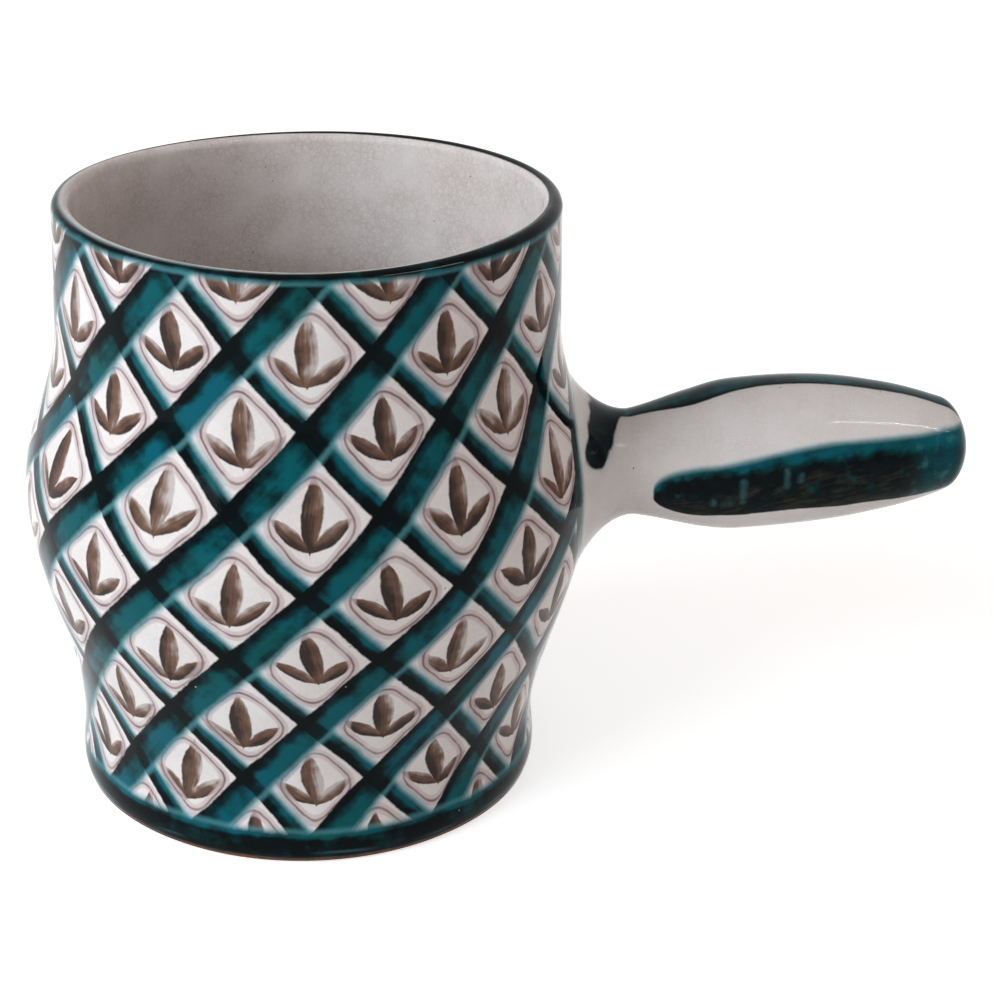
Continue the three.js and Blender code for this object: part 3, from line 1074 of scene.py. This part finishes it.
@dataclass
class PotBody:
    """Thrown wall, floor, foot and lip of the pot, one surface turned round +Z. Sizes in metres."""

    base_radius: float = 56.4 * MM
    foot: tuple[float, float] = (5.0 * MM, 58.4 * MM)
    waist: tuple[float, float] = (16.0 * MM, 57.6 * MM)
    belly: tuple[float, float] = (80.0 * MM, 69.1 * MM)
    neck: tuple[float, float] = (119.0 * MM, 60.7 * MM)
    rim_radius: float = 60.0 * MM
    height: float = 149.0 * MM
    rim_wall: float = 4.6 * MM
    foot_wall: float = 6.4 * MM
    floor: float = 7.0 * MM
    floor_fillet: float = 12.0 * MM
    fullness: float = 1.2 * MM
    full: tuple[float, float] = (8.0 * MM, 108.0 * MM)
    foot_sway: float = 1.1 * MM
    sway_span: tuple[float, float] = (14.0 * MM, 44.0 * MM)
    wall_waves: Table = ((0.30, 2.0, 0.7), (0.16, 3.0, -1.2), (0.08, 5.0, 0.0))
    rim_waves: Table = ((0.61, 1.0, -0.42), (0.56, 2.0, -0.25), (0.21, 3.0, 2.1))
    rim_rise: float = 0.5
    ring_depth: float = 0.05
    ring_length: float = 1.15 * MM
    columns: int = 360
    rows: int = 220
    lip_rows: int = 31
    dense: int = 160

    @property
    def lip_tube(self) -> float:
        """Radius of the round lip."""
        return self.rim_wall / 2.0

    @property
    def lip_height(self) -> float:
        """Height at which the wall meets the round lip."""
        return self.height - self.lip_tube

    def outer_radius(self, height: np.ndarray) -> np.ndarray:
        """Outside radius: an eased blend between neighbouring stations, fuller round the lower belly.

        What it is fuller by goes with the square of the sine of half a turn between two heights.

        Args:
            height: Heights above the base.

        Returns:
            The radii.
        """
        top = (self.lip_height, self.rim_radius)
        stations = np.array([self.foot, self.waist, self.belly, self.neck, top])
        heights, radii = stations.T
        below = np.clip(np.searchsorted(heights, height, side="right") - 1, 0, len(heights) - 2)
        share = (height - heights[below]) / (heights[below + 1] - heights[below])
        plain = radii[below] + (radii[below + 1] - radii[below]) * ease(np.clip(share, 0.0, 1.0))
        return plain + self.fullness * half_wave(height, self.full) ** 2

    def inner_radius(self, height: np.ndarray) -> np.ndarray:
        """Inside radius: the outside less a wall that eases from the foot's to the rim's at the belly.

        Args:
            height: Heights above the base.

        Returns:
            The radii.
        """
        share = np.clip((height - self.floor) / (self.belly[0] - self.floor), 0.0, 1.0)
        return self.outer_radius(height) - (self.foot_wall + (self.rim_wall - self.foot_wall) * ease(share))

    def outside_outline(self) -> np.ndarray:
        """Outline of the base, the foot's quarter of an ellipse and the wall, up to the round lip.

        Returns:
            Radius and height of each point.
        """
        share = np.linspace(0.0, 1.0, self.dense)
        quarter = share * math.pi / 2.0
        foot_edge = np.column_stack((
            self.base_radius + (self.foot[1] - self.base_radius) * np.sin(quarter),
            self.foot[0] * (1.0 - np.cos(quarter)),
        ))
        heights = self.foot[0] + (self.lip_height - self.foot[0]) * share
        wall = np.column_stack((self.outer_radius(heights), heights))
        base = np.column_stack((self.base_radius * share, np.zeros(self.dense)))
        return np.vstack((base[2:-1], foot_edge[:-1], wall))

    def inside_outline(self) -> np.ndarray:
        """Outline from the round lip down the inside wall, round the fillet and over the floor.

        Returns:
            Radius and height of each point.
        """
        share = np.linspace(0.0, 1.0, self.dense)
        fillet_top = self.floor + self.floor_fillet
        heights = self.lip_height + (fillet_top - self.lip_height) * share
        wall = np.column_stack((self.inner_radius(heights), heights))
        centre = float(self.inner_radius(np.array([fillet_top]))[0]) - self.floor_fillet
        fillet = arc_points((centre, fillet_top), self.floor_fillet, 0.0, -90.0, self.dense)
        floor = np.column_stack((centre * (1.0 - share), np.full(self.dense, self.floor)))
        return np.vstack((wall[:-1], fillet[:-1], floor[:-2]))

    def surface(self) -> tuple[np.ndarray, dict[str, np.ndarray]]:
        """The whole skin as a grid, with the slight unevenness of a thrown pot.

        A point is the outline's radius turned about +Z, plus slow waves round the pot that grow with
        height and fine throwing rings up the inside. The foot stands a little to -X of the axis, and the
        rim is a little higher towards +X: its height is a sum of three cosines of the turn.

        Returns:
            The grid in metres, and numbers for each row: 1 inside the pot and 0 outside it, and the
            outline's plain radius and height in millimetres.
        """
        outside = evenly_spaced(self.outside_outline(), int(self.rows * 0.56))
        inside = evenly_spaced(self.inside_outline(), self.rows - len(outside))
        middle = (self.rim_radius - self.lip_tube, self.lip_height)
        lip = arc_points(middle, self.lip_tube, 0.0, 180.0, self.lip_rows + 2)[1:-1]
        outline = np.vstack((outside, lip, inside))
        lining = (np.arange(len(outline)) > len(outside) + self.lip_rows // 2).astype(float)
        turn = np.linspace(0.0, FULL_TURN, self.columns, endpoint=False)
        radius, height = (column[:, None] for column in outline.T)
        raised = height / self.height
        rings = self.ring_depth * np.sin(height / self.ring_length) * ease(np.clip(raised * 4.0, 0.0, 1.0))
        uneven = wavy(turn, self.wall_waves) * raised + lining[:, None] * rings
        radius = radius + MM * uneven * np.minimum(1.0, radius / self.base_radius)
        share = (height - self.sway_span[0]) / (self.sway_span[1] - self.sway_span[0])
        sway = self.foot_sway * (ease(np.clip(share, 0.0, 1.0)) - 1.0)
        height = height + MM * (self.rim_rise + wavy(turn, self.rim_waves)) * raised**6
        grid = np.stack((radius * np.cos(turn) + sway, radius * np.sin(turn), height), -1)
        plain_radius, plain_height = outline.T / MM
        return grid, {"lining": lining, "plain_radius": plain_radius, "plain_height": plain_height}

    def build(self) -> bpy.types.Object:
        """Builds the mesh and stores each row's numbers on its points, for the finish.

        Returns:
            The pot's object.
        """
        grid, marks = self.surface()
        piece = shell_object("glazed_pot", grid, poles=True)
        for name, values in marks.items():
            stored = piece.data.attributes.new(name, "FLOAT", "POINT")
            whole = np.concatenate((np.repeat(values, self.columns), values[[0, -1]]))
            stored.data.foreach_set("value", whole.astype(np.float32))
        return piece


@dataclass
class HandleSizes:
    """Axis and outline of the handle. Distances along the axis are from the pot's axis, in metres."""

    height: float = 75.4 * MM
    rise: float = 3.1
    neck: tuple[float, float] = (80.0 * MM, 13.4 * MM)
    swell: tuple[float, float] = (107.0 * MM, 18.8 * MM)
    shoulder: tuple[float, float] = (160.0 * MM, 11.9 * MM)
    rise_power: float = 1.25
    fall_power: float = 2.8
    end_depth: float = 5.8 * MM
    end_from: float = math.radians(12.5)
    spigot_radius: float = 11.6 * MM
    fillet: float = 14.0 * MM
    bend: float = 1.0 * MM
    bent: tuple[float, float] = (96.0 * MM, 158.0 * MM)
    plump: float = 0.5 * MM
    plumped: tuple[float, float] = (98.0 * MM, 142.0 * MM)
    far_off: float = 200.0

    def outer_radius(self, along: np.ndarray) -> np.ndarray:
        """Outside radius: a quick rise from the neck to the swell, then a long fall to the shoulder.

        A low hump makes it a little plumper past the swell.

        Args:
            along: Distances along the axis.

        Returns:
            The radii.
        """
        rise = np.clip((along - self.neck[0]) / (self.swell[0] - self.neck[0]), 0.0, 1.0)
        fall = np.clip((along - self.swell[0]) / (self.shoulder[0] - self.swell[0]), 0.0, 1.0)
        risen = (self.swell[1] - self.neck[1]) * np.sin(rise**self.rise_power * math.pi / 2.0)
        plump = self.plump * half_wave(along, self.plumped)
        return self.neck[1] + risen + (self.shoulder[1] - self.swell[1]) * fall**self.fall_power + plump

    def placed(self, along: np.ndarray, radius: np.ndarray, turn: np.ndarray) -> np.ndarray:
        """Points of a turned shape about the handle's axis.

        Each is the axis's start, plus the distance along the leaning axis, plus the radius times the
        cosine of the turn towards -Y and its sine upwards, square to the axis. A low hump bends the
        axis upwards a little.

        Args:
            along: Distances along the axis.
            radius: Distances from the axis.
            turn: Turns about the axis, from -Y upwards.

        Returns:
            The points in metres.
        """
        lean = math.radians(self.rise)
        side, up = radius * np.cos(turn), radius * np.sin(turn) + self.bend * half_wave(along, self.bent)
        x = along * math.cos(lean) - up * math.sin(lean)
        z = self.height + along * math.sin(lean) + up * math.cos(lean)
        return np.stack(np.broadcast_arrays(x, -side, z), axis=-1)

    def along_axis(self, canvas: Canvas) -> tuple[Field, Field]:
        """Distance along the axis and height above it, for a material.

        Args:
            canvas: Material that reads them.

        Returns:
            The two distances in millimetres.
        """
        lean = math.radians(self.rise)
        lifted = canvas.z - self.height / MM
        along = canvas.x * math.cos(lean) + lifted * math.sin(lean)
        height = lifted * math.cos(lean) - canvas.x * math.sin(lean)
        return along, height

    def near_axis(self, canvas: Canvas) -> Field:
        """Distance from the axis in millimetres, made large behind the pot's middle, for a material.

        Args:
            canvas: Material that reads it.

        Returns:
            The distance.
        """
        along, height = self.along_axis(canvas)
        behind = 1.0 - soft_step(along, 0.0, 1.0)
        return diagonal(height, canvas.y) + behind * self.far_off


@dataclass
class Handle:
    """Thrown hollow handle, closed at its end. Its root goes into the collar."""

    sizes: HandleSizes
    columns: int = 192
    rows: int = 190
    dense: int = 200
    overlap: float = 2.5 * MM
    sunk: float = 0.4 * MM

    def outline(self) -> np.ndarray:
        """Outline from inside the root along the side and round the end, which is part of an ellipse.

        Returns:
            Radius and distance along the axis of each point.
        """
        sizes = self.sizes
        start = sizes.neck[0] - self.overlap
        share = np.linspace(0.0, 1.0, self.dense)
        along = start + (sizes.shoulder[0] - start) * share
        sunk = self.sunk * np.clip((sizes.neck[0] - along) / self.overlap, 0.0, 1.0) ** 2
        side = np.column_stack((sizes.outer_radius(along) - sunk, along))
        turned = sizes.end_from + share * (math.pi / 2.0 - sizes.end_from)
        depth = sizes.end_depth / (1.0 - math.sin(sizes.end_from))
        end = np.column_stack((
            sizes.shoulder[1] * np.cos(turned) / math.cos(sizes.end_from),
            sizes.shoulder[0] + sizes.end_depth - depth * (1.0 - np.sin(turned)),
        ))
        root = np.column_stack((np.linspace(0.6 * MM, side[0, 0], 12), np.full(12, start)))
        return np.vstack((root[:-1], side[:-1], end[:-1]))

    def build(self) -> bpy.types.Object:
        """Builds the mesh, with the slight unevenness of a piece that was turned and squeezed by hand.

        Returns:
            The handle's object.
        """
        outline = evenly_spaced(self.outline(), self.rows)
        turn = np.linspace(0.0, FULL_TURN, self.columns, endpoint=False)
        radius, along = (column[:, None] for column in outline.T)
        neck, shoulder = self.sizes.neck[0], self.sizes.shoulder[0]
        past = np.clip((along - neck) / (shoulder - neck), 0.0, 1.0)
        waves = 0.22 * np.cos(2.0 * turn + 0.4) + 0.12 * np.cos(3.0 * turn + 5.0 * past)
        waves = (waves + 0.10 * np.sin(9.0 * past)) * ease(np.clip(past * 5.0, 0.0, 1.0))
        radius = radius + MM * waves * np.minimum(1.0, radius / (6.0 * MM))
        return shell_object("glazed_handle", self.sizes.placed(along, radius, turn), poles=True)


@dataclass
class Collar:
    """Coil of clay smoothed round the joint, from the belly up to the handle's neck."""

    pot: PotBody
    sizes: HandleSizes
    columns: int = 192
    rows: int = 56
    skirt: float = 3.0 * MM
    sunk: float = 0.25 * MM
    sleeve: float = 3.0 * MM
    depth: float = 4.0 * MM
    taper: tuple[float, float] = (0.10 * MM, 0.25 * MM)

    def belly_along(self, radius: np.ndarray, turn: np.ndarray) -> np.ndarray:
        """Distance along the handle's axis at which a line beside it meets the pot's outside.

        The distance is halved in on: the half that holds the change from inside to outside is kept.

        Args:
            radius: Distances of the lines from the axis.
            turn: Turns of the lines about the axis.

        Returns:
            The distances along the axis.
        """
        low = np.zeros(np.broadcast(radius, turn).shape)
        high = np.full(low.shape, self.sizes.neck[0])
        for _ in range(40):
            middle = (low + high) / 2.0
            points = self.sizes.placed(middle, radius, turn)
            inside = np.hypot(points[..., 0], points[..., 1]) < self.pot.outer_radius(points[..., 2])
            low, high = np.where(inside, middle, low), np.where(inside, high, middle)
        return high

    def build(self) -> bpy.types.Object:
        """Builds the mesh as closed sections all round the axis.

        A section starts under the belly's skin, climbs as a hollow fillet whose height above the belly
        falls with the sine of a quarter turn, runs on over the neck as a thin sleeve, and returns inside.

        Returns:
            The collar's object.
        """
        sizes = self.sizes
        turn = np.linspace(0.0, FULL_TURN, self.columns, endpoint=False)[None, :]
        quarter = np.linspace(math.pi / 2.0, 0.0, self.rows)[:, None]
        radius = sizes.neck[1] + sizes.fillet * (1.0 - np.cos(quarter))
        seat = self.belly_along(radius, turn)
        fillet = seat + (sizes.neck[0] - seat) * (1.0 - np.sin(quarter))
        reach = sizes.neck[1] + sizes.fillet + np.linspace(1.0, 0.25, 4)[:, None] * self.skirt
        skirt = self.belly_along(reach, turn) - np.linspace(1.0, 0.25, 4)[:, None] * self.sunk
        past = np.linspace(0.25, 1.0, 4)[:, None]
        sleeve = sizes.neck[0] + past * self.sleeve
        sleeve_radius = sizes.outer_radius(sleeve) - self.taper[0] * past - self.taper[1] * past**2
        inner = np.array([[sizes.spigot_radius], [sizes.spigot_radius]])
        wide = np.ones((1, self.columns))
        inner_along = np.vstack(((sizes.neck[0] + self.sleeve) * wide, seat[-1:] - self.depth))
        all_radii = np.vstack((reach * wide, radius * wide, sleeve_radius * wide, inner * wide))
        all_along = np.vstack((skirt, fillet, sleeve * wide, inner_along))
        return shell_object("glazed_collar", sizes.placed(all_along, all_radii, turn), poles=False)


@dataclass(frozen=True)
class Lamp:
    """One rectangular lamp that faces the pot. Its long side is level unless it says otherwise."""

    name: str
    place: tuple[float, float, float]
    size: tuple[float, float]
    power: float
    tint: tuple[float, float, float] = (1.0, 1.0, 1.0)
    long_side: "tuple[float, float, float] | None" = None
    lights: bool = True
    mirrored: bool = True
    aim: tuple[float, float, float] = (0.04, 0.0, 0.09)

    def build(self) -> None:
        """Makes the lamp, turned so that its -Z axis faces the pot and its +X axis follows its long side."""
        data = bpy.data.lights.new(self.name, "AREA")
        data.shape = "RECTANGLE"
        data.size, data.size_y = self.size
        data.color = self.tint
        data.energy = self.power
        lamp = bpy.data.objects.new(self.name, data)
        back = (Vector(self.place) - Vector(self.aim)).normalized()
        wanted = Vector(self.long_side) if self.long_side else Vector((0.0, 0.0, 1.0)).cross(back)
        side = (wanted - back * wanted.dot(back)).normalized()
        turned = Matrix((side, back.cross(side), back)).transposed().to_4x4()
        lamp.matrix_world = Matrix.Translation(self.place) @ turned
        lamp.visible_diffuse = self.lights
        lamp.visible_glossy = self.mirrored
        bpy.context.scene.collection.objects.link(lamp)


@dataclass
class Studio:
    """Plain pale floor and surroundings, three soft lamps, and a strip seen only as a highlight."""

    floor_size: float = 8.0
    floor_colour: tuple[float, float, float] = (0.86, 0.86, 0.86)
    floor_glow: tuple[float, float, float] = (0.64, 0.655, 0.665)
    ambient: tuple[float, float, float] = (0.378, 0.328, 0.300)
    lamps: tuple[Lamp, ...] = (
        Lamp("soft_lamp", (-0.93, -0.56, 0.68), (1.0, 0.8), 13.0, (0.94, 1.01, 1.06)),
        Lamp("low_lamp", (-0.97, -0.87, 0.18), (0.7, 0.22), 1.0, (0.94, 1.01, 1.07), mirrored=False),
        Lamp("side_lamp", (1.30, 0.02, 0.25), (0.6, 0.24), 2.2, (1.0, 0.93, 0.87), mirrored=False),
        Lamp("strip_lamp", (0.96, -0.56, 1.20), (0.86, 0.045), 12.0,
             long_side=(0.68, 0.30, -0.28), lights=False),
    )

    def build(self) -> None:
        """Builds the floor, the world and the lamps."""
        self.floor()
        self.world()
        for lamp in self.lamps:
            lamp.build()
        LOG.info("studio: floor, world and %d lamps", len(self.lamps))

    def floor(self) -> None:
        """Makes the floor, which shows white to the camera and keeps the pot's shadow."""
        half = self.floor_size / 2.0
        corners = [(-half, -half, 0.0), (half, -half, 0.0), (half, half, 0.0), (-half, half, 0.0)]
        mesh = bpy.data.meshes.new("floor")
        mesh.from_pydata(corners, [], [(0, 1, 2, 3)])
        floor = bpy.data.objects.new("floor", mesh)
        bpy.context.scene.collection.objects.link(floor)
        material = bpy.data.materials.new("pale_floor")
        material.use_nodes = True
        tree = material.node_tree
        tree.nodes.clear()
        matte = tree.nodes.new("ShaderNodeBsdfDiffuse")
        matte.inputs["Color"].default_value = (*self.floor_colour, 1.0)
        glow = tree.nodes.new("ShaderNodeEmission")
        glow.inputs["Color"].default_value = (*self.floor_glow, 1.0)
        feed(tree, glow.inputs["Strength"], self.seen(tree))
        both = tree.nodes.new("ShaderNodeAddShader")
        output = tree.nodes.new("ShaderNodeOutputMaterial")
        tree.links.new(matte.outputs[0], both.inputs[0])
        tree.links.new(glow.outputs[0], both.inputs[1])
        tree.links.new(both.outputs[0], output.inputs["Surface"])
        mesh.materials.append(material)

    def seen(self, tree: Tree) -> Field:
        """Tells rays that show the surroundings from rays that light the pot.

        Args:
            tree: Node tree to add to.

        Returns:
            1 for rays that are seen straight, mirrored or through glass, and 0 for the others.
        """
        path = tree.nodes.new("ShaderNodeLightPath")
        straight, mirrored, through = (
            Field(tree, path.outputs[f"Is {kind} Ray"]) for kind in ("Camera", "Glossy", "Transmission")
        )
        return larger(larger(straight, mirrored), through)

    def world(self) -> None:
        """Makes the surroundings white to the eye, and warmer and dimmer as a light."""
        world = bpy.data.worlds.new("studio_world")
        bpy.context.scene.world = world
        world.use_nodes = True
        tree = world.node_tree
        tree.nodes.clear()
        mix = tree.nodes.new("ShaderNodeMix")
        mix.data_type = "RGBA"
        entries = [entry for entry in mix.inputs if entry.type == "RGBA"]
        entries[0].default_value = (*self.ambient, 1.0)
        entries[1].default_value = (1.0, 1.0, 1.0, 1.0)
        feed(tree, mix.inputs["Factor"], self.seen(tree))
        background = tree.nodes.new("ShaderNodeBackground")
        shown = next(output for output in mix.outputs if output.type == "RGBA")
        tree.links.new(shown, background.inputs["Color"])
        output = tree.nodes.new("ShaderNodeOutputWorld")
        tree.links.new(background.outputs[0], output.inputs["Surface"])


@dataclass
class PhotoCamera:
    """Camera at the photograph's place and angle."""

    place: tuple[float, float, float] = (0.0, -506.3 * MM, 296.3 * MM)
    yaw: float = 5.27
    pitch: float = 23.99
    roll: float = 1.46
    focal_pixels: float = 2200.0
    picture_height: float = 995.0
    sensor: float = 36.0

    def build(self) -> None:
        """Makes the camera and sets it as the scene's own."""
        yaw, pitch, roll = (math.radians(angle) for angle in (self.yaw, self.pitch, self.roll))
        ahead = Vector((math.sin(yaw), math.cos(yaw), 0.0))
        right = Vector((math.cos(yaw), -math.sin(yaw), 0.0))
        upwards = Vector((0.0, 0.0, 1.0))
        view = ahead * math.cos(pitch) - upwards * math.sin(pitch)
        top = upwards * math.cos(pitch) + ahead * math.sin(pitch)
        across = right * math.cos(roll) + top * math.sin(roll)
        up = top * math.cos(roll) - right * math.sin(roll)
        data = bpy.data.cameras.new("photo_camera")
        data.sensor_fit = "VERTICAL"
        data.sensor_height = self.sensor
        data.lens = self.focal_pixels * self.sensor / self.picture_height
        data.clip_start = 10.0 * MM
        camera = bpy.data.objects.new("photo_camera", data)
        turned = Matrix((across, up, -view)).transposed().to_4x4()
        camera.matrix_world = Matrix.Translation(self.place) @ turned
        bpy.context.scene.collection.objects.link(camera)
        bpy.context.scene.camera = camera
        LOG.info("camera: lens %.1f mm", data.lens)


def main() -> None:
    """Builds the pot, its handle and collar, then the studio and the camera."""
    logging.basicConfig(level=logging.INFO, format="%(message)s")
    bpy.context.scene.view_settings.view_transform = "Standard"
    PhotoCamera().build()
    pot = PotBody()
    sizes = HandleSizes()
    handle_finish = HandleGlaze().make(sizes)
    dress(pot.build(), PotGlaze().make(sizes), Slot.WHITE_GLAZE, "pot_body")
    dress(Handle(sizes).build(), handle_finish, Slot.HANDLE_GLAZE, "handle")
    dress(Collar(pot, sizes).build(), handle_finish, Slot.TEAL_GLAZE, "luting_collar")
    Studio().build()


if __name__ == "__main__":
    main()
